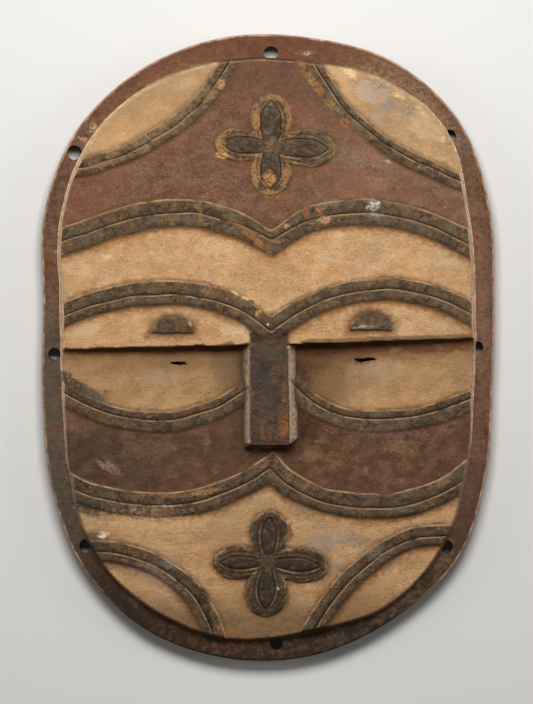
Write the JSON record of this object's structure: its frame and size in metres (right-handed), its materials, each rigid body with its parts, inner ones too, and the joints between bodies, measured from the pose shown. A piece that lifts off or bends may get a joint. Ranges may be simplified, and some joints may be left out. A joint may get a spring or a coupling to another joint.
{
  "type": "carved face mask",
  "caption": "Round face mask carved from wood, painted red-brown, cream and black, with paired ribs, rosettes, a bar nose, eye slits and a flat rim pierced for ties.",
  "frame": {"origin": "middle of the mask's outline, on the plane of the back rim that it lies on", "axes": "+Y towards the forehead end, +Z out of the face, +X to the right of someone who looks at the face"},
  "size_m": [0.253, 0.35, 0.0351],
  "materials": {
    "painted_wood": "matt earth pigment on carved wood, worn through on the edges"
  },
  "bodies": {
    "root": {"carved_mask": "painted_wood"}
  },
  "joints": []
}
